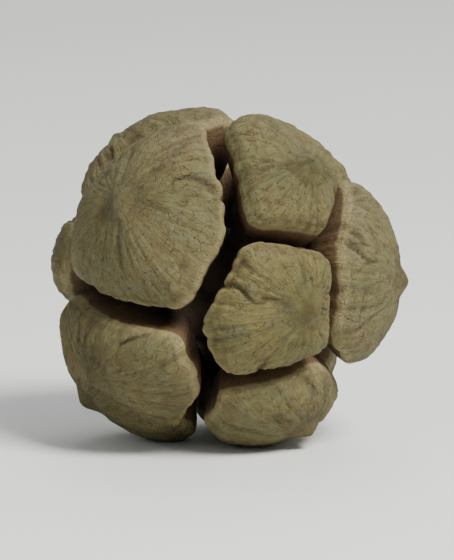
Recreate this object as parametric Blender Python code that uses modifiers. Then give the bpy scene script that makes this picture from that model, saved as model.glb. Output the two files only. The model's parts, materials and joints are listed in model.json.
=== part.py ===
"""A dry, opened cone of the Mediterranean cypress, lying on three of its scales.

Metres, +Z up. Twelve shield-shaped scales stand in six crossed pairs on a short woody axis, which ends at
the base in the broken stub of the stalk. It all grew as one piece of wood, so it is one solid. The cone is
shaped in a frame of its own, with the axis along z and the tip at +z, and is then laid down: the tip points
along -Y and a little up, and the low points of three scales are at Z = 0.
"""

import math
import random

import bmesh
import bpy
import numpy as np
from mathutils import Matrix, Vector, noise

CONE_RADIUS = 0.0145  # of the rounded body that the scales' domes rise from, across the axis
CONE_HALF_LENGTH = 0.0147  # of that body, along the axis
CRACK = 0.0018  # open gap between neighbouring scales
CRACK_CHANGE = 0.35  # share by which the gap grows and shrinks along its run
CRACK_PITCH = 0.009  # of that change
CORNER_SHARPNESS = 9.0  # higher makes the corners of a shield less round

# Each level is a pair of opposite scales: their angle from the tip, the turn of the pair about the axis, how
# far out the faces stand, where a face that stands further out is cut smaller by its neighbours, and how many
# degrees further from the tip the first of the pair sits, and the second nearer.
LEVELS = (
    (23.0, 80.0, 1.03, -4.0),
    (58.0, -20.0, 0.90, -9.0),
    (92.0, 32.0, 1.05, -8.0),
    (94.0, 107.0, 1.02, 14.0),
    (131.0, 39.0, 0.98, 0.0),
    (136.0, 138.0, 1.02, 8.0),
)
JITTER = 2.0  # degrees by which a scale's centre strays from its place
STALK_FACE = 1.13  # how far out the stalk stands, as a face between the lowest scales

DOME = 0.0018  # rise of a shield's middle over its rim
RIM_DROP = 0.0006  # rounding of the rim
RIM_FROM = 0.78  # share of the way to the rim where the rounding starts
MUCRO_HEIGHT = 0.0005  # blunt point in the middle of a shield
MUCRO_RADIUS = 0.0009
LIFT = 0.0003  # most that a scale stands in or out
TILT = 4.0  # degrees, most that a shield leans
LEAST_TILT = 0.3  # share of it that every shield leans
WAVE = 0.00030  # waves of a shield's face
WAVE_PITCH = 0.0038
RIM_WAVE = 0.035  # waves of a shield's outline, as a share of its radius
RIM_WAVE_PITCH = 0.0035
NOISE_ROOM = 50.0  # each scale's waves are read from a place of their own within this

FLANK_DEPTH = 0.0064  # how far a scale's side runs inward before it narrows
STEM_RADIUS = 0.0028  # of the stem of a scale
STEM_REACH = 0.0056  # from the axis to where the stem widens
STEM_CLEAR = 0.0004  # least room between the stem and the bend of the scale's side
STEM_EASE = 0.0021  # how far the stem runs straight on before it widens
ROOT_REACH = 0.0019  # from the axis to the stem's full thickness
ROOT_SPREAD = 0.0054  # the stems' roots lie along the axis this far each way

AXIS_PROFILE = (  # height along the axis and radius, from the tip to the stub's end
    (0.0074, 0.0007),
    (0.0064, 0.0018),
    (0.0010, 0.0030),
    (-0.0064, 0.0031),
    (-0.0100, 0.0025),
    (-0.0122, 0.0018),
    (-0.0135, 0.0016),
    (-0.0146, 0.0017),
)
AXIS_TIP = 0.0004  # height of the point over the first of them
AXIS_SIDES = 14
MERGE = 0.00001  # points of the axis this near are one
STUB_SLANT = 22.0  # degrees, of the broken end of the stub

SIDES = 28  # points round a scale
FACE_RINGS = (0.07, 0.17, 0.36, 0.58, 0.76, 0.89, 0.965, 1.0)
FLANK_RINGS = (0.16, 0.38, 0.68, 1.0)

TIP_UP = 26.4  # degrees by which the tip is raised where the cone lies still
ROLL = -4.8  # degrees about the cone's axis
FLAT_DEPTH = 0.00025  # worn off each of the three low points
SEED = 11

COLOUR = (0.235, 0.165, 0.080, 1.0)
ROUGHNESS = 0.85


def clear_scene():
    for obj in list(bpy.data.objects):
        bpy.data.objects.remove(obj, do_unlink=True)


def unit(vectors):
    return vectors / np.linalg.norm(vectors, axis=-1, keepdims=True)


def direction(from_tip, turn):
    a, b = math.radians(from_tip), math.radians(turn)
    return np.array([math.sin(a) * math.cos(b), math.sin(a) * math.sin(b), math.cos(a)])


def place_scales(draw):
    """The direction of each scale's centre and how far out its face stands. The last is the stalk."""
    centres, faces = [], []
    for from_tip, turn, face, further in LEVELS:
        for half_turn, shift in ((0.0, further), (180.0, -further)):
            strayed = from_tip + shift + draw.uniform(-JITTER, JITTER)
            turned = turn + half_turn + draw.uniform(-JITTER, JITTER) / math.sin(math.radians(from_tip))
            centres.append(direction(strayed, turned))
            faces.append(face)
    centres.append(direction(180.0, 0.0))
    faces.append(STALK_FACE)
    return np.array(centres), np.array(faces)


def body_radius(toward):
    """Distance from the middle to the rounded body, along each direction."""
    across = (toward[..., 0] ** 2 + toward[..., 1] ** 2) / CONE_RADIUS**2
    return 1.0 / np.sqrt(across + toward[..., 2] ** 2 / CONE_HALF_LENGTH**2)


def waves(points, pitch, offset):
    """Smooth noise from -1 to 1 at each point."""
    flat = points.reshape(-1, 3) / pitch + offset
    return np.array([noise.noise(Vector(p)) for p in flat]).reshape(points.shape[:-1])


def smooth_step(low, high, x):
    t = np.clip((x - low) / (high - low), 0.0, 1.0)
    return t * t * (3.0 - 2.0 * t)


class Scale:
    """One shield on its stem, as a form that any number of points can be read from."""

    def __init__(self, index, centres, faces, draw):
        self.centre = centres[index]
        up = np.array([0.0, 0.0, 1.0]) - self.centre * self.centre[2]
        self.up = unit(up)
        self.side = np.cross(self.up, self.centre)
        normals = centres / faces[:, None]
        self.borders = np.delete(normals[index] - normals, index, axis=0)
        self.offset = np.array([draw.uniform(0.0, NOISE_ROOM) for _ in range(3)])
        self.lift = draw.uniform(-LIFT, LIFT)
        self.tilt = math.tan(math.radians(draw.uniform(LEAST_TILT, 1.0) * TILT))
        self.tilt_turn = draw.uniform(0.0, 2.0 * math.pi)
        self.root = np.array([0.0, 0.0, ROOT_SPREAD * self.centre[2]])
        self.stem = unit(self.centre * body_radius(self.centre) - self.root)

    def across(self, turns):
        """Unit vectors square to the scale's centre line, one for each turn."""
        return np.cos(turns)[:, None] * self.side + np.sin(turns)[:, None] * self.up

    def outline(self, turns):
        """Angle from the scale's centre to its rim, seen from the middle of the cone."""
        out = self.across(turns)
        reach = np.clip(-(out @ self.borders.T) / (self.borders @ self.centre), 0.0, None)
        border = np.arctan(1.0 / (reach**CORNER_SHARPNESS).sum(axis=1) ** (1.0 / CORNER_SHARPNESS))
        on_ring = out * CONE_RADIUS
        gap = CRACK * (1.0 + CRACK_CHANGE * waves(on_ring, CRACK_PITCH, self.offset))
        wave = 1.0 + RIM_WAVE * waves(on_ring, RIM_WAVE_PITCH, -self.offset)
        return (border - gap / 2.0 / CONE_RADIUS) * wave

    def face(self, turns, share):
        """Points of the shield's face, at this share of the way from its middle to its rim."""
        angle = share * self.outline(turns)[:, None]
        toward = np.cos(angle) * self.centre + np.sin(angle) * self.across(turns)
        reach = body_radius(toward)
        ground = toward * reach[:, None]
        rise = self.lift + DOME * (1.0 - share**2.0)
        rise -= RIM_DROP * smooth_step(RIM_FROM, 1.0, share) ** 2
        out = angle[:, 0] * reach
        rise = rise + MUCRO_HEIGHT * np.exp(-((out / MUCRO_RADIUS) ** 2))
        rise = rise + out * self.tilt * np.cos(turns - self.tilt_turn)
        rise = rise + WAVE * share * waves(ground, WAVE_PITCH, self.offset)
        return ground + toward * rise[:, None]

    def flank(self, turns, share):
        """Points of the scale's side, at this share of the way from its rim to its stem."""
        rim = self.face(turns, 1.0)
        out = self.across(turns)
        end = self.root + self.stem * STEM_REACH + STEM_RADIUS * out
        first = rim - unit(rim) * FLANK_DEPTH
        from_root = first - self.root
        beside = ((from_root - np.outer(from_root @ self.stem, self.stem)) * out).sum(axis=1)
        first += out * np.clip(STEM_RADIUS + STEM_CLEAR - beside, 0.0, None)[:, None]
        second = end + self.stem * STEM_EASE
        t = share
        return (
            (1 - t) ** 3 * rim
            + 3 * (1 - t) ** 2 * t * first
            + 3 * (1 - t) * t**2 * second
            + t**3 * end
        )

    def mesh(self, name, sides):
        """The closed surface of the scale, as rings joined from the point of the face to the root."""
        turns = np.linspace(0.0, 2.0 * math.pi, sides, endpoint=False)
        rings = [self.face(turns, share) for share in FACE_RINGS]
        rings += [self.flank(turns, share) for share in FLANK_RINGS]
        rings.append(self.root + self.stem * ROOT_REACH + STEM_RADIUS * self.across(turns))
        middle = self.face(turns[:1], 0.0)[0]
        return lofted(name, middle, rings, self.root)


def lofted(name, first, rings, last):
    """A mesh object over rings of equal count, closed by a point at each end."""
    form = bmesh.new()
    start = form.verts.new(first)
    loops = [[form.verts.new(point) for point in ring] for ring in rings]
    end = form.verts.new(last)
    count = len(loops[0])
    for k in range(count):
        n = (k + 1) % count
        form.faces.new((start, loops[0][k], loops[0][n]))
        for inner, outer in zip(loops, loops[1:]):
            form.faces.new((inner[k], outer[k], outer[n], inner[n]))
        form.faces.new((loops[-1][n], loops[-1][k], end))
    bmesh.ops.recalc_face_normals(form, faces=form.faces)
    data = bpy.data.meshes.new(name)
    form.to_mesh(data)
    form.free()
    return bpy.data.objects.new(name, data)


def make_axis(name):
    """The woody axis and the stub of the stalk, turned from a profile."""
    data = bpy.data.meshes.new(name)
    points = [(0.0, 0.0, AXIS_PROFILE[0][0] + AXIS_TIP)]
    points += [(radius, 0.0, height) for height, radius in AXIS_PROFILE]
    points.append((0.0, 0.0, AXIS_PROFILE[-1][0]))
    data.from_pydata(points, [(k, k + 1) for k in range(len(points) - 1)], [])
    axis = bpy.data.objects.new(name, data)
    turn = axis.modifiers.new("turn", "SCREW")
    turn.steps = turn.render_steps = AXIS_SIDES
    turn.use_merge_vertices = True
    turn.merge_threshold = MERGE
    return axis


def keep_evaluated(obj):
    """Puts the shape that the modifiers give into the mesh, and drops the modifiers."""
    graph = bpy.context.evaluated_depsgraph_get()
    data = bpy.data.meshes.new_from_object(obj.evaluated_get(graph))
    obj.modifiers.clear()
    obj.data = data


def break_stub(axis):
    """Slants the stub's end, as wood that was snapped off."""
    slope = math.tan(math.radians(STUB_SLANT))
    half_way = (AXIS_PROFILE[-1][0] + AXIS_PROFILE[-2][0]) / 2.0
    for vertex in axis.data.vertices:
        if vertex.co.z < half_way:
            vertex.co.z += slope * vertex.co.x


def fill_hollows(cone):
    """Drops the closed pockets that joining leaves between the roots, so that the wood is solid there."""
    form = bmesh.new()
    form.from_mesh(cone.data)
    furthest = max(form.verts, key=lambda vertex: vertex.co.length)
    reached = {furthest}
    edge_of_reach = [furthest]
    while edge_of_reach:
        vertex = edge_of_reach.pop()
        near = {edge.other_vert(vertex) for edge in vertex.link_edges} - reached
        reached |= near
        edge_of_reach.extend(near)
    bmesh.ops.delete(form, geom=[vertex for vertex in form.verts if vertex not in reached], context="VERTS")
    form.to_mesh(cone.data)
    form.free()


def resting():
    """The turn that lays the cone on three of its scales, with its tip along -Y and a little up."""
    lay = Matrix.Rotation(math.radians(90.0), 4, "X")
    roll = Matrix.Rotation(math.radians(ROLL), 4, "Z")
    lift_tip = Matrix.Rotation(math.radians(-TIP_UP), 4, "X")
    return lift_tip @ lay @ roll


def lie_on_flats(cone):
    """Lays the cone down, wears its three low points flat at Z = 0 and centres its box over the origin."""
    cone.data.transform(resting())
    form = bmesh.new()
    form.from_mesh(cone.data)
    low = min(vertex.co.z for vertex in form.verts)
    bmesh.ops.translate(form, verts=form.verts, vec=(0.0, 0.0, -low - FLAT_DEPTH))
    everything = form.verts[:] + form.edges[:] + form.faces[:]
    ground = {"plane_co": (0.0, 0.0, 0.0), "plane_no": (0.0, 0.0, -1.0)}
    bmesh.ops.bisect_plane(form, geom=everything, clear_outer=True, **ground)
    bmesh.ops.holes_fill(form, edges=[edge for edge in form.edges if edge.is_boundary])
    places = np.array([vertex.co for vertex in form.verts])
    middle = (places.min(axis=0) + places.max(axis=0)) / 2.0
    bmesh.ops.translate(form, verts=form.verts, vec=(-middle[0], -middle[1], 0.0))
    many_sided = [face for face in form.faces if len(face.verts) > 4]
    bmesh.ops.triangulate(form, faces=many_sided)
    form.to_mesh(cone.data)
    form.free()


def bark_material():
    material = bpy.data.materials.new("cone_wood")
    material.use_nodes = True
    shader = material.node_tree.nodes["Principled BSDF"]
    shader.inputs["Base Color"].default_value = COLOUR
    shader.inputs["Roughness"].default_value = ROUGHNESS
    shader.inputs["Metallic"].default_value = 0.0
    return material


def main():
    clear_scene()
    draw = random.Random(SEED)
    home = bpy.data.collections.new("cypress_cone")
    scales = bpy.data.collections.new("scales")
    for collection in (home, scales):
        bpy.context.scene.collection.children.link(collection)
    cone = make_axis("cypress_cone")
    home.objects.link(cone)
    bpy.context.view_layer.update()
    keep_evaluated(cone)
    break_stub(cone)
    centres, faces = place_scales(draw)
    for index in range(len(centres) - 1):
        scales.objects.link(Scale(index, centres, faces, draw).mesh(f"scale_{index}", SIDES))
    join = cone.modifiers.new("join_scales", "BOOLEAN")
    join.operation = "UNION"
    join.operand_type = "COLLECTION"
    join.collection = scales
    join.solver = "MANIFOLD"
    keep_evaluated(cone)
    for obj in list(scales.objects):
        bpy.data.objects.remove(obj, do_unlink=True)
    bpy.data.collections.remove(scales)
    fill_hollows(cone)
    lie_on_flats(cone)
    cone.data.materials.append(bark_material())


main()
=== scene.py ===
import json
import math
import random

import bmesh
import bpy
import numpy as np
from mathutils import Matrix, Vector, kdtree, noise

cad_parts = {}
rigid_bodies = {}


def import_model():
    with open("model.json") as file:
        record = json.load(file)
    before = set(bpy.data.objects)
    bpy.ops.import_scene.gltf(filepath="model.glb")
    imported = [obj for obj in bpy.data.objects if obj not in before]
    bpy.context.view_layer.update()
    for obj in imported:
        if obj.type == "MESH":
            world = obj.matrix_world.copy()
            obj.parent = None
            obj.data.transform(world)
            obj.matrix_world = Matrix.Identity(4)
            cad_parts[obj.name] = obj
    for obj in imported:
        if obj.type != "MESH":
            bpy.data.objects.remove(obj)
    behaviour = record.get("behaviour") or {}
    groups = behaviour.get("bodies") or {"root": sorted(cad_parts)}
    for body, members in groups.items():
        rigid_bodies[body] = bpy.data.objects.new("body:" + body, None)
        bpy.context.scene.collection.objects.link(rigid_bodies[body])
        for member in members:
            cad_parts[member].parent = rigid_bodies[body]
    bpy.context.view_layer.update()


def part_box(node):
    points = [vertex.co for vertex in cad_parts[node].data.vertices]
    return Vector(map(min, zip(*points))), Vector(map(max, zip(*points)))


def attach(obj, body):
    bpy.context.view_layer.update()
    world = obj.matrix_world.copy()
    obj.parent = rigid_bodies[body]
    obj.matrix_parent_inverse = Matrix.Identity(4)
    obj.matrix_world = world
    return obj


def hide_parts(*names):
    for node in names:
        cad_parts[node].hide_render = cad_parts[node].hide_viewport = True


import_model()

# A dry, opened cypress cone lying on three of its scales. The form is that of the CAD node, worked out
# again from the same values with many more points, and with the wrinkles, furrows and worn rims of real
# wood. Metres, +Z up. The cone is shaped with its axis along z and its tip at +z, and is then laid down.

MM = 0.001
TENTH_MM = 0.0001

# The form of the CAD node. Angles are in degrees.
CONE_RADIUS = 0.0145
CONE_HALF_LENGTH = 0.0147
CRACK = 0.0018  # open gap between neighbouring scales
CRACK_CHANGE = 0.35
CRACK_PITCH = 0.009
CORNER_SHARPNESS = 9.0  # higher makes the corners of a shield less round
LEVELS = (  # from the tip, turn, how far out the faces stand, how much further the first of the pair sits
    (23.0, 80.0, 1.03, -4.0),
    (58.0, -20.0, 0.90, -9.0),
    (92.0, 32.0, 1.05, -8.0),
    (94.0, 107.0, 1.02, 14.0),
    (131.0, 39.0, 0.98, 0.0),
    (136.0, 138.0, 1.02, 8.0),
)
JITTER = 2.0  # most that a scale's centre strays from its place
STALK_FACE = 1.13  # the same for the stalk, which holds the scales clear of it
DOME = 0.0018  # rise of a shield's face from its rim to its middle
RIM_DROP = 0.0006  # how far the face falls away more at its rim
RIM_FROM = 0.78  # share of the way to the rim where that begins
MUCRO_HEIGHT = 0.0005  # blunt point in the middle of a shield
MUCRO_RADIUS = 0.0009
MUCRO_LENGTH = 1.25  # times that radius, across the axis of the cone
MUCRO_WIDTH = 0.8  # times that radius, along the axis of the cone
LIFT = 0.0003  # most that a shield stands further out or in
TILT = 4.0  # most that a face leans
LEAST_TILT = 0.3  # share of that which every face leans at least
WAVE = 0.00030  # of a shield's face
WAVE_PITCH = 0.0038
RIM_WAVE = 0.035  # of its outline, as a share of its radius
RIM_WAVE_PITCH = 0.0035
NOISE_ROOM = 50.0  # each scale's waves are read from a place of their own within this
FLANK_DEPTH = 0.0064  # how far a scale's side aims inward from its rim, before it bends to the stem
STEM_RADIUS = 0.0030  # a little more than the solid has, so that less light passes between the stems
STEM_REACH = 0.0056  # from the root to where the side meets the stem
STEM_CLEAR = 0.0006  # room between the bend and the stem, a little more than the solid has, for the relief
STEM_EASE = 0.0021  # how gently the side runs into the stem
ROOT_REACH = 0.0019
ROOT_SPREAD = 0.0054  # how far from the middle the root of a scale right at the tip would lie
AXIS_PROFILE = (  # height along the axis and radius, from the tip to the stub's end
    (0.0074, 0.0007),
    (0.0064, 0.0018),
    (0.0010, 0.0030),
    (-0.0064, 0.0031),
    (-0.0100, 0.0025),
    (-0.0122, 0.0018),
    (-0.0135, 0.0016),
    (-0.0146, 0.0017),
)
STUB_SLANT = 22.0
TIP_UP = 26.4
ROLL = -4.8
SEED = 11

# Rings of points on a scale
SIDES = 180
FACE_STEPS = 29
FACE_EASE = 1.25  # above 1 sets the rings closer together toward the rim, and so for the flank
FLANK_STEPS = 13
FLANK_EASE = 1.5

# The relief of a shield's face. Shares are of the way from its middle to its rim.
SPOKE_PLACE = 1.7  # times a scale's own place in the noise
FURROWS = 4.2  # higher packs more furrows round a shield
FURROW_DEPTH = 0.00014
FURROW_WIDTH = 0.085  # of the noise's height, on either side of 0, where a furrow runs
FURROW_DRIFT = 1.1  # how much a furrow wanders on its way out
FURROW_START = (0.12, 0.55)  # shares between which furrows, ribs and folds rise to their full height
RIBS = 1.6 * FURROWS
RIB_HEIGHT = 0.00009
RIB_DRIFT = 0.9
WRINKLE = 0.00008  # sharp folds between the furrows
WRINKLE_PITCH = 0.0009
WRINKLE_CLOSER = 0.6  # how much closer together than by their pitch the folds are, across the shield
WRINKLE_SHARPNESS = 2.4
WRINKLE_IN_MIDDLE = 0.35  # share of the folds' height that the middle of the shield has
LUMP = 0.00013
LUMP_PITCH = 0.0026
GRAIN = 0.00004
GRAIN_PITCH = 0.00055
CREASE_DEPTH = 0.00013  # of the line across a shield, through its point
CREASE_WIDTH = 0.00030
CREASE_WANDER = 0.0002
CREASE_WANDER_PITCH = 0.0020
CREASE_START = (0.0008, 0.0022)  # distances from the point between which the line deepens
CREASE_END = (0.5, 0.9)  # shares between which it runs out
RING_DEPTH = 0.00013  # of the groove round the point
RING_RADIUS = 0.0017
RING_WIDTH = 0.0006
NIB_HEIGHT = 0.00016  # hard tip of the point
NIB_RADIUS = 0.00042

# The wear of a shield's rim. Its depths are shares of the shield's radius, but for those in metres.
NOTCH = 0.014  # where a furrow meets the rim
CHIP = 0.024
CHIP_NOISES = ((0.0019, 1.3), (0.0047, 1.9))  # pitch, and place as a multiple of the scale's own
CHIP_LIMITS = (-0.3, 0.7)  # most that the rim stands out and in, times CHIP
WEAR_POWER = 4  # higher keeps the wear of the outline nearer to the rim
EDGE_ROUND = 0.00028  # metres by which the edge is rounded off
SPLIT_START = (0.45, 0.61)  # share at which each split of a shield starts
SPLIT_FADE = 0.25  # share over which it then deepens
SPLIT_DEPTH = 0.00045  # metres
SPLIT_WIDTH = 0.034  # radians
SPLIT_NOTCH = 0.05
SPLIT_PLACE = 2.3  # times a scale's own place in the noise, which is where its splits are
SPLIT_SWING = 0.10  # radians by which a split swings to either side
SPLIT_SWINGS = 9.0  # higher makes it swing more often

# The relief of a scale's side. Shares are of the way from its rim to its stem.
UNDERCUT = 0.00022
UNDERCUT_START = (0.06, 0.14)  # shares between which the side steps in behind the shield's own edge
STRIPES = 5.0  # higher packs more stripes round a scale
STRIPE_HEIGHT = 0.00012
STRIPE_DRIFT = 1.6
SIDE_RELIEF_START = (0.0, 0.2)
SIDE_RELIEF_END = (0.85, 1.0)

# The woody axis and the stub of the stalk
AXIS_SIDES = 48
AXIS_STEPS = 56
AXIS_ROUND = 0.0004  # rise of the axis's upper end
FIBRES = 3.5  # higher packs more fibres round the axis
FIBRE_HEIGHT = 0.00016
FIBRE_MARK = 0.0001  # height that the finish takes the fibres to have
FIBRE_LENGTH = 0.00625
FIBRE_PLACE = 3.0
STALK_FROM = -0.0100  # height along the axis where the wood inside ends and the stalk's bark begins
STALK_BLEND = 0.0015
END_SHARES = (0.88, 0.72, 0.54, 0.36, 0.18)  # rings of the broken end, as shares of its radius
END_CUP = 0.0007  # metres that the middle of the end is hollowed by
END_REACH = 0.0009  # how far up the stub the slant of its end is felt
SPLINTERS = 4.0  # higher packs more splinters round the end
SPLINTER_HEIGHT = 0.00035
SPLINTER_PLACE = 7.0
END_GRAIN_HEIGHT = 0.5 * SPLINTER_HEIGHT
END_GRAIN_PITCH = 0.0006
END_GRAIN_PLACE = 5.0

# Marks along the surface, which the finish is read from. On a scale, 0 is the middle of its face.
AT_RIM = 1.0
AT_STEM = 2.0
ON_BARK = 2.5
ON_END = 3.0
AXIS_NUMBER = 20.0  # stands where a scale has its own number

# Where the finishes meet, between the two marks of each
FACE_ENDS = (1.02, 0.99)
RIM_IS_WORN = (0.91, 0.995)
PALE_LINE_ENDS = (1.00, 1.03)
CORK_ENDS = (1.04, 1.12)
# painted shade deep between the scales, darkening the sides toward the stem
SIDE_SHADE_DEEPENS = (1.03, 1.26)
BARK_STARTS = (2.15, 2.40)
END_STARTS = (2.6, 2.9)

# Pitches of the wood's patterns in millimetres, and of the streaks as they run out like spokes
BLOTCH = 5.0
PATCH = 1.8
MOTTLE = 0.75
SPECK = 0.30
STREAK = 0.55
FINE_STREAK = 0.22
SPOKE_CIRCLE = 6.0  # radius of the circle in the noise that the streaks are read round
STREAK_WANDER = 1.8
STREAK_STEP = 7.3  # from one scale's circle to the next scale's
CHECKS = 1.1  # cells of the network of fine cracks, to a millimetre
CHECK_WIDTH = 0.055
CHECK_BEND = 0.12
CHECK_BEND_PITCH = 0.8
PITS = 1.7  # to a millimetre
PIT_EDGE = (0.20, 0.08)

# The sheen and the finest relief
ROUGHNESS = 0.72
ROUGHNESS_CHANGE = 0.4
WORN_SMOOTHER = 0.10
SHEEN = 0.25
FINEST_RELIEF = 0.00038

# Colours
OLIVE = (0.148, 0.150, 0.050, 1.0)
TAN = (0.218, 0.176, 0.062, 1.0)
BROWN = (0.084, 0.057, 0.022, 1.0)
GREY = (0.136, 0.136, 0.086, 1.0)
RIM = (0.300, 0.250, 0.122, 1.0)
CORK = (0.108, 0.068, 0.032, 1.0)
# dark brown for specks, cracks and pits, and for painted shade in the furrows
SPECK_AND_FURROW_SHADE = (0.045, 0.031, 0.017, 1.0)
SIDE = (0.120, 0.058, 0.026, 1.0)
# near black brown, for streaks on the sides and for painted shade deep between the scales
DEEP_STREAK_AND_SHADE = (0.050, 0.032, 0.019, 1.0)
STALK = (0.165, 0.128, 0.080, 1.0)
PITH = (0.250, 0.190, 0.105, 1.0)
FLOOR_DARKER = (0.82, 0.83, 0.81, 1.0)
FLOOR_PALER = (0.86, 0.87, 0.85, 1.0)

# The studio
FLOOR_RADIUS = 0.9
FLOOR_BEND = 0.6  # radius of the bend between the floor and the wall
FLOOR_BEND_STEPS = 12
WALL_HEIGHT = 1.6
FLOOR_TURNS = 96
FLOOR_MERGE = 0.0001
FLOOR_CLOUD = 0.05
FLOOR_ROUGHNESS = 0.6
FLOOR_RELIEF = 0.00001
CAMERA_TURN = -35.0  # as in the photo: the tip is seen a little right of the middle and above it
CAMERA_RISE = 9.0
CAMERA_DISTANCE = 0.50
CAMERA_NEAR = 0.01
VIEW_WIDTH = 0.041
AIM_HEIGHT = 0.0146
LIGHT_AIM_HEIGHT = 0.015
LIGHTS = (  # name, turn from the camera, rise, distance, size, power, colour
    ("key", 42.0, 50.0, 0.55, 0.20, 5.4, (1.0, 0.98, 0.94)),
    ("fill", -50.0, 25.0, 0.60, 0.45, 0.4, (0.93, 0.97, 1.0)),
    ("back", 170.0, 50.0, 0.60, 0.35, 1.2, (1.0, 1.0, 1.0)),
)
ROOM_COLOUR = (0.95, 0.98, 1.0, 1.0)
ROOM_STRENGTH = 0.38


def unit(vectors):
    return vectors / np.linalg.norm(vectors, axis=-1, keepdims=True)


def cone_direction(from_tip, turn):
    a, b = math.radians(from_tip), math.radians(turn)
    return np.array([math.sin(a) * math.cos(b), math.sin(a) * math.sin(b), math.cos(a)])


def smooth_step(low, high, x):
    t = np.clip((x - low) / (high - low), 0.0, 1.0)
    return t * t * (3.0 - 2.0 * t)


def bell(x, width):
    return np.exp(-((x / width) ** 2))


def waves(points, pitch, offset):
    """Smooth noise from -1 to 1 at each point."""
    flat = points.reshape(-1, 3) / pitch + offset
    return np.array([noise.noise(Vector(p)) for p in flat]).reshape(points.shape[:-1])


def place_scales(draw):
    """The direction of each scale's centre and how far out its face stands. The last is the stalk."""
    centres, faces = [], []
    for from_tip, turn, face, further in LEVELS:
        for half_turn, shift in ((0.0, further), (180.0, -further)):
            strayed = from_tip + shift + draw.uniform(-JITTER, JITTER)
            turned = turn + half_turn + draw.uniform(-JITTER, JITTER) / math.sin(math.radians(from_tip))
            centres.append(cone_direction(strayed, turned))
            faces.append(face)
    centres.append(cone_direction(180.0, 0.0))
    faces.append(STALK_FACE)
    return np.array(centres), np.array(faces)


def body_radius(toward):
    """Distance from the middle to the rounded body, along each direction."""
    across = (toward[..., 0] ** 2 + toward[..., 1] ** 2) / CONE_RADIUS**2
    return 1.0 / np.sqrt(across + toward[..., 2] ** 2 / CONE_HALF_LENGTH**2)


def marks_of(along, place, height, number):
    """What the finish needs to know of each point of a ring.

    That is how far along the surface it is, its place across the shield in millimetres, the height of
    its relief in tenths of a millimetre, and the scale's number.
    """
    ones = np.ones(len(place))
    return np.column_stack([along * ones, place / MM, height / TENTH_MM * ones, number * ones])


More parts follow.
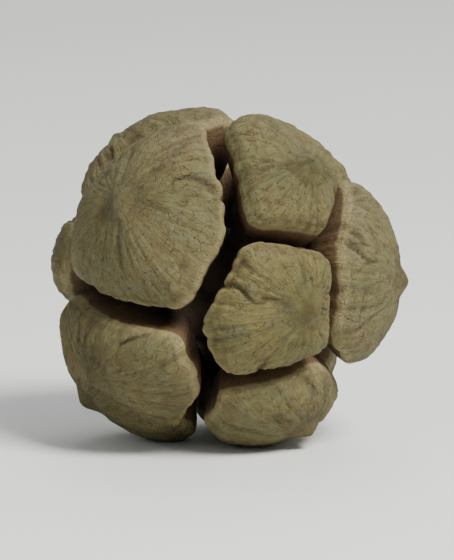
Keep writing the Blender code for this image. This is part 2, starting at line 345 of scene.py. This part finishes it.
class Scale:
    """One shield on its stem, with the relief of its face, rim and sides."""

    def __init__(self, index, centres, faces, draw):
        self.index = index
        self.centre = centres[index]
        self.up = unit(np.array([0.0, 0.0, 1.0]) - self.centre * self.centre[2])
        self.side = np.cross(self.up, self.centre)
        normals = centres / faces[:, None]
        self.borders = np.delete(normals[index] - normals, index, axis=0)
        self.offset = np.array([draw.uniform(0.0, NOISE_ROOM) for _ in range(3)])
        self.lift = draw.uniform(-LIFT, LIFT)
        self.tilt = math.tan(math.radians(draw.uniform(LEAST_TILT, 1.0) * TILT))
        self.tilt_turn = draw.uniform(0.0, 2.0 * math.pi)
        self.root = np.array([0.0, 0.0, ROOT_SPREAD * self.centre[2]])
        self.stem = unit(self.centre * body_radius(self.centre) - self.root)
        self.turns = np.linspace(0.0, 2.0 * math.pi, SIDES, endpoint=False)
        self.out = np.cos(self.turns)[:, None] * self.side + np.sin(self.turns)[:, None] * self.up
        self.on_ring = self.out * CONE_RADIUS
        self.plain_rim = self.outline()
        self.fine_rim = self.plain_rim * (1.0 - self.wear())

    def outline(self):
        """Angle from the scale's centre to its rim, seen from the middle of the cone."""
        reach = np.clip(-(self.out @ self.borders.T) / (self.borders @ self.centre), 0.0, None)
        border = np.arctan(1.0 / (reach**CORNER_SHARPNESS).sum(axis=1) ** (1.0 / CORNER_SHARPNESS))
        gap = CRACK * (1.0 + CRACK_CHANGE * waves(self.on_ring, CRACK_PITCH, self.offset))
        wave = 1.0 + RIM_WAVE * waves(self.on_ring, RIM_WAVE_PITCH, -self.offset)
        return (border - gap / 2.0 / CONE_RADIUS) * wave

    def wear(self):
        """How much of the rim is worn away all round, as a share of the shield's radius."""
        chips = sum(waves(self.on_ring, pitch, self.offset * place) for pitch, place in CHIP_NOISES)
        worn = NOTCH * self.furrows(1.0) + CHIP * np.clip(chips, *CHIP_LIMITS)
        return worn + SPLIT_NOTCH * self.splits(1.0)

    def spokes(self, share, count, drift):
        """Noise that runs out from the middle like spokes, and wanders a little on its way."""
        place = self.out * count + self.centre * share * drift
        return waves(place, 1.0, self.offset * SPOKE_PLACE)

    def furrows(self, share):
        """1 in the middle of a furrow and 0 between them."""
        return bell(self.spokes(share, FURROWS, FURROW_DRIFT), FURROW_WIDTH)

    def splits(self, share):
        """1 in the middle of the cracks that run in from the rim."""
        found = np.zeros(SIDES)
        for turn, start in zip(self.offset * SPLIT_PLACE, SPLIT_START):
            swing = SPLIT_SWING * math.sin(share * SPLIT_SWINGS + turn)
            away = np.angle(np.exp(1j * (self.turns - turn - swing)))
            split = bell(away, SPLIT_WIDTH) * smooth_step(start, start + SPLIT_FADE, share)
            found = np.maximum(found, split)
        return found

    def crease(self, share, ground, out):
        """1 on the line that crosses the shield through its point."""
        wander = CREASE_WANDER * waves(ground, CREASE_WANDER_PITCH, self.offset)
        line = bell(out * np.sin(self.turns) + wander, CREASE_WIDTH)
        from_point = np.abs(out * np.cos(self.turns))
        return line * smooth_step(*CREASE_START, from_point) * (1.0 - smooth_step(*CREASE_END, share))

    def relief(self, share, ground, out):
        """Height of the fine relief of the face over its plain form."""
        spread = smooth_step(*FURROW_START, share)
        closer = ground + WRINKLE_CLOSER * self.out * out[:, None]
        folds = 1.0 - WRINKLE_SHARPNESS * np.abs(waves(closer, WRINKLE_PITCH, self.offset))
        height = RIB_HEIGHT * spread * self.spokes(share, RIBS, RIB_DRIFT)
        height -= FURROW_DEPTH * spread * self.furrows(share)
        height -= WRINKLE * folds * (WRINKLE_IN_MIDDLE + (1.0 - WRINKLE_IN_MIDDLE) * spread)
        height += LUMP * waves(ground, LUMP_PITCH, self.offset)
        height += GRAIN * waves(ground, GRAIN_PITCH, self.offset)
        height -= SPLIT_DEPTH * self.splits(share)
        height -= CREASE_DEPTH * self.crease(share, ground, out)
        height -= RING_DEPTH * bell(out - RING_RADIUS, RING_WIDTH)
        return height

    def face(self, share):
        """A ring of the shield's face at this share of the way to its rim, its place and its relief."""
        rim = self.plain_rim + (self.fine_rim - self.plain_rim) * share**WEAR_POWER
        angle = (share * rim)[:, None]
        toward = np.cos(angle) * self.centre + np.sin(angle) * self.out
        reach = body_radius(toward)
        ground = toward * reach[:, None]
        out = angle[:, 0] * reach
        place = np.stack([out * np.cos(self.turns), out * np.sin(self.turns)], axis=1)
        from_point = np.linalg.norm(place / (MUCRO_LENGTH, MUCRO_WIDTH), axis=1)
        rise = self.lift + DOME * (1.0 - share**2) - RIM_DROP * smooth_step(RIM_FROM, 1.0, share) ** 2
        rise = rise + MUCRO_HEIGHT * bell(from_point, MUCRO_RADIUS)
        rise = rise + NIB_HEIGHT * bell(from_point, NIB_RADIUS)
        rise = rise + out * self.tilt * np.cos(self.turns - self.tilt_turn)
        rise = rise + WAVE * share * waves(ground, WAVE_PITCH, self.offset)
        height = self.relief(share, ground, out)
        past_edge = np.clip((share - 1.0) * self.fine_rim * CONE_RADIUS / EDGE_ROUND + 1.0, 0.0, 1.0)
        rounding = EDGE_ROUND * (1.0 - np.sqrt(1.0 - past_edge**2))
        return ground + toward * (rise + height - rounding)[:, None], place, height

    def bend(self, rim):
        """Where the side aims, straight inward from the rim, but kept beside the stem."""
        inward = rim - unit(rim) * FLANK_DEPTH
        from_root = inward - self.root
        beside = ((from_root - np.outer(from_root @ self.stem, self.stem)) * self.out).sum(axis=1)
        return inward + self.out * np.clip(STEM_RADIUS + STEM_CLEAR - beside, 0.0, None)[:, None]

    def flank(self, share, rim):
        """A ring of the scale's side at this share of the way from its rim to its stem, and its relief."""
        first = self.bend(rim)
        end = self.root + self.stem * STEM_REACH + STEM_RADIUS * self.out
        second = end + self.stem * STEM_EASE
        t = share
        line = (1 - t) ** 3 * rim + 3 * (1 - t) ** 2 * t * first + 3 * (1 - t) * t**2 * second + t**3 * end
        height = STRIPE_HEIGHT * self.spokes(share, STRIPES, STRIPE_DRIFT)
        height = height + LUMP * waves(line, LUMP_PITCH, self.offset)
        height = height * smooth_step(*SIDE_RELIEF_START, share)
        height = height * (1.0 - smooth_step(*SIDE_RELIEF_END, share))
        inward = UNDERCUT * smooth_step(*UNDERCUT_START, share) * (1.0 - share)
        return line + self.out * (height - inward)[:, None], height

    def surface(self):
        """The rings of the scale from the middle of its face to its root, and their marks.

        The first and the last ring are one point. The side has the place of the rim that it runs from.
        """
        rings = [self.face(0.0)[0][:1]]
        marks = [marks_of(0.0, np.zeros((1, 2)), 0.0, self.index)]
        for step in range(FACE_STEPS):
            share = 1.0 - (1.0 - (step + 1) / FACE_STEPS) ** FACE_EASE
            points, place, height = self.face(share)
            rings.append(points)
            marks.append(marks_of(AT_RIM * share, place, height, self.index))
        rim = rings[-1]
        for step in range(FLANK_STEPS):
            share = ((step + 1) / FLANK_STEPS) ** FLANK_EASE
            points, height = self.flank(share, rim)
            rings.append(points)
            marks.append(marks_of(AT_RIM + (AT_STEM - AT_RIM) * share, place, height, self.index))
        rings.append(self.root + self.stem * ROOT_REACH + STEM_RADIUS * self.out)
        marks.append(marks_of(AT_STEM, place, 0.0, self.index))
        return [*rings, self.root[None, :]], [*marks, marks[-1][:1]]


def lofted(name, rings):
    """A mesh object over rings of equal count, closed by one point in place of a ring at each end."""
    count = len(rings[1])
    points = np.concatenate(rings)
    faces = []
    end = len(points) - 1
    for k in range(count):
        n = (k + 1) % count
        faces.append((0, 1 + k, 1 + n))
        for inner in range(1, end - count, count):
            outer = inner + count
            faces.append((inner + k, outer + k, outer + n, inner + n))
        innermost = end - count
        faces.append((innermost + n, innermost + k, end))
    data = bpy.data.meshes.new(name)
    data.from_pydata(points.tolist(), [], faces)
    data.update()
    return bpy.data.objects.new(name, data)


def ring_of_axis(height, radius, around):
    """A ring of the axis with its fibres, and near the lower end with the end's slant and splinters."""
    points = around * radius
    points[:, 2] = height
    along_fibre = np.full(AXIS_SIDES, height / FIBRE_LENGTH)
    on_fibres = np.column_stack([around[:, :2] * FIBRES, along_fibre])
    fibres = waves(on_fibres, 1.0, np.full(3, FIBRE_PLACE))
    points[:, :2] += around[:, :2] * (FIBRE_HEIGHT * fibres)[:, None]
    splinters = waves(around * SPLINTERS, 1.0, np.full(3, SPLINTER_PLACE))
    slant = math.tan(math.radians(STUB_SLANT))
    near_end = math.exp(-(height - AXIS_PROFILE[-1][0]) / END_REACH)
    points[:, 2] += near_end * (slant * points[:, 0] + SPLINTER_HEIGHT * splinters)
    return points, fibres


def ring_of_end(rim, share):
    """A ring of the stub's broken end, at this share of its radius."""
    middle = rim.mean(axis=0)
    points = middle + (rim - middle) * share
    points[:, 2] += END_CUP * (1.0 - share**2)
    points[:, 2] += END_GRAIN_HEIGHT * waves(points, END_GRAIN_PITCH, np.full(3, END_GRAIN_PLACE))
    return points


def surface_of_axis():
    """The rings of the axis from its upper end to the stub's broken end, and their marks.

    The first and the last ring are one point.
    """
    heights, radii = np.array(AXIS_PROFILE[::-1]).T
    turns = np.linspace(0.0, 2.0 * math.pi, AXIS_SIDES, endpoint=False)
    around = np.stack([np.cos(turns), np.sin(turns), np.zeros(AXIS_SIDES)], axis=1)
    rings, marks = [], []
    for step in reversed(range(AXIS_STEPS)):
        height = heights[0] + (heights[-1] - heights[0]) * step / (AXIS_STEPS - 1)
        points, fibres = ring_of_axis(height, np.interp(height, heights, radii), around)
        above_stalk = smooth_step(STALK_FROM - STALK_BLEND, STALK_FROM + STALK_BLEND, height)
        along = ON_BARK + (AT_STEM - ON_BARK) * above_stalk
        rings.append(points)
        marks.append(marks_of(along, points[:, :2], fibres * FIBRE_MARK, AXIS_NUMBER))
    rim = rings[-1]
    for share in END_SHARES:
        points = ring_of_end(rim, share)
        rings.append(points)
        marks.append(marks_of(ON_END, points[:, :2], 0.0, AXIS_NUMBER))
    top = np.array([[0.0, 0.0, heights[-1] + AXIS_ROUND]])
    end = rings[-1].mean(axis=0)[None, :]
    return [top, *rings, end], [marks[0][:1], *marks, marks[-1][:1]]


def join_scales(axis, scales):
    """Joins the collection's scales to the axis, and removes their objects."""
    join = axis.modifiers.new("join", "BOOLEAN")
    join.operand_type = "COLLECTION"
    join.operation = "UNION"
    join.solver = "MANIFOLD"
    join.collection = scales
    bpy.context.view_layer.update()
    joined = axis.evaluated_get(bpy.context.evaluated_depsgraph_get())
    data = bpy.data.meshes.new_from_object(joined)
    axis.modifiers.clear()
    axis.data = data
    for scale in list(scales.objects):
        bpy.data.objects.remove(scale, do_unlink=True)
    bpy.data.collections.remove(scales)


def keep_outside(data):
    """Drops the closed pockets that joining leaves between the roots."""
    form = bmesh.new()
    form.from_mesh(data)
    furthest = max(form.verts, key=lambda vertex: vertex.co.length)
    reached = {furthest}
    front = [furthest]
    while front:
        vertex = front.pop()
        near = {edge.other_vert(vertex) for edge in vertex.link_edges} - reached
        reached |= near
        front.extend(near)
    closed_in = [vertex for vertex in form.verts if vertex not in reached]
    bmesh.ops.delete(form, geom=closed_in, context="VERTS")
    form.to_mesh(data)
    form.free()


def put_marks(data, points, marks):
    """Gives each vertex the marks of the nearest point that the scales and the axis were made of."""
    tree = kdtree.KDTree(len(points))
    for index, point in enumerate(points):
        tree.insert(point, index)
    tree.balance()
    found = marks[[tree.find(vertex.co)[1] for vertex in data.vertices]].astype(np.float32)
    along = data.attributes.new("along", "FLOAT", "POINT")
    along.data.foreach_set("value", found[:, 0])
    place = data.attributes.new("place", "FLOAT_VECTOR", "POINT")
    place.data.foreach_set("vector", found[:, [1, 2, 4]].ravel())
    height = data.attributes.new("height", "FLOAT", "POINT")
    height.data.foreach_set("value", found[:, 3])


def resting():
    """Turns the cone from its tip at +z to how it lies, with its tip toward -Y."""
    lay = Matrix.Rotation(math.radians(90.0), 4, "X")
    roll = Matrix.Rotation(math.radians(ROLL), 4, "Z")
    lift_tip = Matrix.Rotation(math.radians(-TIP_UP), 4, "X")
    return lift_tip @ lay @ roll


def seat_in_frame(data):
    """Lays the cone down where the CAD node lies, and wears what is under the floor flat."""
    data.transform(resting())
    places = np.array([vertex.co for vertex in data.vertices])
    low, high = np.array(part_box("cypress_cone"))
    shift = (low + high) / 2.0 - (places.min(axis=0) + places.max(axis=0)) / 2.0
    shift[2] = high[2] - places[:, 2].max()
    move = Vector(shift)
    for vertex in data.vertices:
        vertex.co += move
        vertex.co.z = max(vertex.co.z, 0.0)


def make_cone():
    """The whole cone as one closed mesh, lying in the frame, with the marks for its finish."""
    draw = random.Random(SEED)
    centres, faces = place_scales(draw)
    rings, marks = surface_of_axis()
    cone = lofted("cone", rings)
    bpy.context.scene.collection.objects.link(cone)
    scales = bpy.data.collections.new("scales")
    bpy.context.scene.collection.children.link(scales)
    for index in range(2 * len(LEVELS)):
        scale_rings, scale_marks = Scale(index, centres, faces, draw).surface()
        scales.objects.link(lofted("scale_%d" % index, scale_rings))
        rings += scale_rings
        marks += scale_marks
    join_scales(cone, scales)
    keep_outside(cone.data)
    put_marks(cone.data, np.concatenate(rings), np.concatenate(marks))
    seat_in_frame(cone.data)
    cone.data.shade_smooth()
    return cone


class Link:
    """A socket of a material. Sums on links add the Math nodes that work them out."""

    def __init__(self, finish, socket):
        self.finish = finish
        self.socket = socket

    def math(self, operation, *values):
        return self.finish.node("ShaderNodeMath", {"operation": operation}, values)

    def __add__(self, other):
        return self.math("ADD", self, other)

    __radd__ = __add__

    def __sub__(self, other):
        return self.math("SUBTRACT", self, other)

    def __rsub__(self, other):
        return self.math("SUBTRACT", other, self)

    def __mul__(self, other):
        return self.math("MULTIPLY", self, other)

    __rmul__ = __mul__

    def fraction(self):
        return self.math("FRACT", self)

    def limited(self):
        return self.math("MINIMUM", self.math("MAXIMUM", self, 0.0), 1.0)

    def step(self, low, high):
        """0 up to low, 1 from high, and smooth between. Low may be the larger."""
        settings = {"interpolation_type": "SMOOTHSTEP"}
        return self.finish.node("ShaderNodeMapRange", settings, (self, low, high, 0.0, 1.0))


class Finish:
    """A material that is put together from nodes."""

    def __init__(self, name):
        self.material = bpy.data.materials.new(name)
        self.material.use_nodes = True
        self.tree = self.material.node_tree
        self.tree.nodes.clear()

    def node(self, kind, settings=None, values=(), output=0):
        """A node of this kind. Settings are set first, and then the values or links of its sockets."""
        made = self.tree.nodes.new(kind)
        for name, value in (settings or {}).items():
            setattr(made, name, value)
        pairs = values.items() if isinstance(values, dict) else enumerate(values)
        for place, value in pairs:
            if isinstance(value, Link):
                self.tree.links.new(value.socket, made.inputs[place])
            else:
                made.inputs[place].default_value = value
        return Link(self, made.outputs[output] if made.outputs else None)

    def attribute(self, name, output):
        settings = {"attribute_type": "GEOMETRY", "attribute_name": name}
        return self.node("ShaderNodeAttribute", settings, output=output)

    def object_place(self):
        return self.node("ShaderNodeTexCoord", output=3)

    def mix(self, factor, first, second):
        values = {0: factor, 6: first, 7: second}
        return self.node("ShaderNodeMix", {"data_type": "RGBA"}, values, output=2)

    def stained(self, colour, stains):
        """The colour with one stain after another over it, each given as its strength and its colour."""
        for strength, stain in stains:
            colour = self.mix(strength, colour, stain)
        return colour

    def vector(self, operation, *values):
        return self.node("ShaderNodeVectorMath", {"operation": operation}, values)

    def scaled(self, vector, times):
        return self.vector("MULTIPLY", vector, (times, times, times))

    def noise(self, place, pitch, detail, roughness=0.55, distortion=0.0, output=0):
        """Noise about 0.5 with features of this pitch. Output 1 has three such noises as a vector."""
        values = {"Vector": place, "Scale": 1.0 / pitch, "Detail": detail}
        values.update({"Roughness": roughness, "Distortion": distortion})
        return self.node("ShaderNodeTexNoise", {}, values, output)

    def cells(self, feature, place, count):
        """Distances in a pattern of cells, of which this many go to a unit."""
        return self.node("ShaderNodeTexVoronoi", {"feature": feature}, {"Vector": place, "Scale": count})

    def surface(self, colour, roughness, height, distance):
        bump = self.node("ShaderNodeBump", {}, {"Strength": 1.0, "Distance": distance, "Height": height})
        values = {"Base Color": colour, "Roughness": roughness, "Normal": bump, "Specular IOR Level": SHEEN}
        shader = self.node("ShaderNodeBsdfPrincipled", {}, values)
        self.node("ShaderNodeOutputMaterial", {}, {"Surface": shader})
        return self.material


class WoodPatterns:
    """The patterns that the wood's colours and its finest relief are read from."""

    def __init__(self, f):
        self.along = f.attribute("along", 2)
        self.height = f.attribute("height", 2)
        self.face = self.along.step(*FACE_ENDS)
        place = f.attribute("place", 1)
        number = f.node("ShaderNodeSeparateXYZ", {}, (place,), output=2)
        across = f.vector("MULTIPLY", place, (1.0, 1.0, 0.0))
        self.from_middle = f.node("ShaderNodeVectorMath", {"operation": "LENGTH"}, (across,), output=1)
        self.shade = f.node("ShaderNodeTexWhiteNoise", {"noise_dimensions": "1D"}, {"W": number})
        here = f.scaled(f.object_place(), 1.0 / MM)
        self.blots(f, here)
        self.streaks(f, across, number)
        self.cracks(f, here)
        self.wear()

    def blots(self, f, here):
        """Uneven colour, from broad to fine."""
        self.blotch = f.noise(here, BLOTCH, 2.0)
        self.patch = f.noise(here, PATCH, 5.0, 0.62, 0.4)
        self.mottle = f.noise(here, MOTTLE, 4.0, 0.7)
        self.speck = f.noise(here, SPECK, 3.0, 0.7)

    def streaks(self, f, across, number):
        """Streaks that run out from the middle of each shield, and down its sides."""
        lane = self.along * STREAK_WANDER + number * STREAK_STEP
        circle = f.scaled(f.vector("NORMALIZE", across), SPOKE_CIRCLE)
        spoke = f.vector("ADD", circle, f.node("ShaderNodeCombineXYZ", {}, {"Z": lane}))
        self.streak = f.noise(spoke, STREAK, 5.0, 0.65, 0.3)
        self.fine_streak = f.noise(spoke, FINE_STREAK, 4.0, 0.7)

    def cracks(self, f, here):
        """A network of fine cracks and small pits, in places, on the faces only."""
        bends = f.scaled(f.noise(here, CHECK_BEND_PITCH, 2.0, 0.5, output=1), CHECK_BEND)
        checks = f.cells("DISTANCE_TO_EDGE", f.vector("ADD", here, bends), CHECKS)
        pits = f.cells("F1", here, PITS)
        self.checks = checks.step(CHECK_WIDTH, 0.0) * self.mottle.step(0.42, 0.62) * self.face
        self.pits = pits.step(*PIT_EDGE) * self.patch.step(0.40, 0.60) * self.face

    def wear(self):
        """Pale wear on the ridges and, more, along the rims."""
        ridges = self.height.step(0.2, 2.0) * 0.40 * self.mottle.step(0.36, 0.60)
        rims = self.along.step(*RIM_IS_WORN) * (0.22 + self.mottle.step(0.35, 0.60) * 0.50)
        self.worn = (ridges + rims).limited()


def face_colour(f, wood):
    """Olive brown to tan, greyer in patches, with painted shade in the furrows and pale worn rims."""
    tan_share = wood.blotch.step(0.36, 0.64) * 0.6 + wood.mottle.step(0.40, 0.60) * 0.4
    return f.stained(f.mix(tan_share, OLIVE, TAN), (
        (wood.shade * 0.45, GREY),
        ((wood.shade * 7.0).fraction() * 0.30, BROWN),
        (wood.patch.step(0.46, 0.66) * 0.42, GREY),
        (wood.mottle.step(0.48, 0.72) * 0.50, BROWN),
        (wood.patch.step(0.50, 0.34) * 0.50, BROWN),
        (wood.streak.step(0.48, 0.70) * 0.52, BROWN),
        (wood.fine_streak.step(0.40, 0.66) * 0.50, BROWN),
        (wood.speck.step(0.54, 0.70) * 0.40, SPECK_AND_FURROW_SHADE),
        # painted shade: darker where the relief sinks into furrows, splits and grooves
        (wood.height.step(-0.5, -3.0) * 0.60, SPECK_AND_FURROW_SHADE),
        ((wood.checks * 0.28 + wood.pits * 0.40).limited(), SPECK_AND_FURROW_SHADE),
        (wood.worn, RIM),
    ))


def side_colour(f, wood):
    """A pale line behind the rim, then cork, and red brown with painted shade that darkens it toward the
    stem.
    """
    red_brown = f.mix(wood.fine_streak.step(0.35, 0.70), SIDE, BROWN)
    behind_rim = f.mix(wood.along.step(*CORK_ENDS), CORK, red_brown)
    return f.stained(f.mix(wood.along.step(*PALE_LINE_ENDS), RIM, behind_rim), (
        (wood.streak.step(0.50, 0.75) * 0.5, DEEP_STREAK_AND_SHADE),
        # painted shade: the sides darken toward the stem, deep between the scales
        (wood.along.step(*SIDE_SHADE_DEEPENS), DEEP_STREAK_AND_SHADE),
    ))


def bark_colour(f, wood):
    """Brown between the fibres of the stalk, and paler on them."""
    return f.mix((wood.height + wood.mottle * 2.0).step(0.2, 1.4), BROWN, STALK)


def broken_end_colour(f, wood):
    """Pale pith in the middle, and darker wood round it."""
    from_pith = wood.from_middle + wood.mottle * 0.8
    return f.stained(f.mix(from_pith.step(0.9, 2.1), PITH, CORK), (
        (wood.speck.step(0.46, 0.66) * 0.55, BROWN),
    ))


def weathered_wood():
    """Olive brown wood with radiating furrows darkened by painted shade, pale worn rims and dark red brown
    sides that painted shade darkens toward the stem.
    """
    f = Finish("weathered_wood")
    wood = WoodPatterns(f)
    colour = f.mix(wood.face, side_colour(f, wood), face_colour(f, wood))
    colour = f.mix(wood.along.step(*BARK_STARTS), colour, bark_colour(f, wood))
    colour = f.mix(wood.along.step(*END_STARTS), colour, broken_end_colour(f, wood))
    grain = (wood.mottle - 0.5) * 0.45 + (wood.speck - 0.5) * 0.30
    grain = grain + (wood.fine_streak - 0.5) * 0.55 + (wood.streak - 0.5) * 0.45
    grain = grain - wood.checks * 0.25 - wood.pits * 0.35
    roughness = ROUGHNESS + (wood.patch - 0.5) * ROUGHNESS_CHANGE - wood.worn * WORN_SMOOTHER
    return f.surface(colour, roughness, grain, FINEST_RELIEF)


def pale_floor():
    f = Finish("pale_floor")
    cloud = f.noise(f.object_place(), FLOOR_CLOUD, 3.0)
    return f.surface(f.mix(cloud, FLOOR_DARKER, FLOOR_PALER), FLOOR_ROUGHNESS, cloud, FLOOR_RELIEF)


def make_floor():
    """A round, pale studio floor that curves up to a wall, so that every view has a plain background."""
    profile = [(0.0, 0.0, 0.0)]
    for step in range(FLOOR_BEND_STEPS + 1):
        a = 0.5 * math.pi * step / FLOOR_BEND_STEPS
        profile.append((FLOOR_RADIUS + FLOOR_BEND * math.sin(a), 0.0, FLOOR_BEND * (1.0 - math.cos(a))))
    profile.append((FLOOR_RADIUS + FLOOR_BEND, 0.0, WALL_HEIGHT))
    data = bpy.data.meshes.new("floor")
    data.from_pydata(profile, [(k, k + 1) for k in range(len(profile) - 1)], [])
    data.materials.append(pale_floor())
    floor = bpy.data.objects.new("floor", data)
    bpy.context.scene.collection.objects.link(floor)
    turn = floor.modifiers.new("turn", "SCREW")
    turn.steps = turn.render_steps = FLOOR_TURNS
    turn.use_smooth_shade = True
    turn.use_merge_vertices = True
    turn.merge_threshold = FLOOR_MERGE


def studio_direction(turn, rise):
    a, e = math.radians(turn), math.radians(rise)
    return Vector((math.sin(a) * math.cos(e), -math.cos(a) * math.cos(e), math.sin(e)))


def aimed(obj, place, target):
    """Puts an object in the scene at a place, and turns it toward a target."""
    obj.location = place
    obj.rotation_euler = (target - place).to_track_quat("-Z", "Y").to_euler()
    bpy.context.scene.collection.objects.link(obj)


def make_lights():
    for name, turn, rise, distance, size, power, colour in LIGHTS:
        data = bpy.data.lights.new(name, "AREA")
        data.size = size
        data.energy = power
        data.color = colour
        place = studio_direction(CAMERA_TURN + turn, rise) * distance
        aimed(bpy.data.objects.new(name, data), place, Vector((0.0, 0.0, LIGHT_AIM_HEIGHT)))


def make_room_light():
    """Soft light from all round."""
    world = bpy.data.worlds.new("studio")
    world.use_nodes = True
    background = world.node_tree.nodes["Background"]
    background.inputs["Color"].default_value = ROOM_COLOUR
    background.inputs["Strength"].default_value = ROOM_STRENGTH
    bpy.context.scene.world = world


def make_camera():
    data = bpy.data.cameras.new("camera")
    data.sensor_fit = "HORIZONTAL"
    data.lens = data.sensor_width * CAMERA_DISTANCE / VIEW_WIDTH
    data.clip_start = CAMERA_NEAR
    camera = bpy.data.objects.new("camera", data)
    target = Vector((0.0, 0.0, AIM_HEIGHT))
    aimed(camera, target + studio_direction(CAMERA_TURN, CAMERA_RISE) * CAMERA_DISTANCE, target)
    bpy.context.scene.camera = camera


make_camera()
make_lights()
make_room_light()
make_floor()
cone = make_cone()
cone.data.materials.clear()
cone.data.materials.append(weathered_wood())
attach(cone, "root")
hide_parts("cypress_cone")
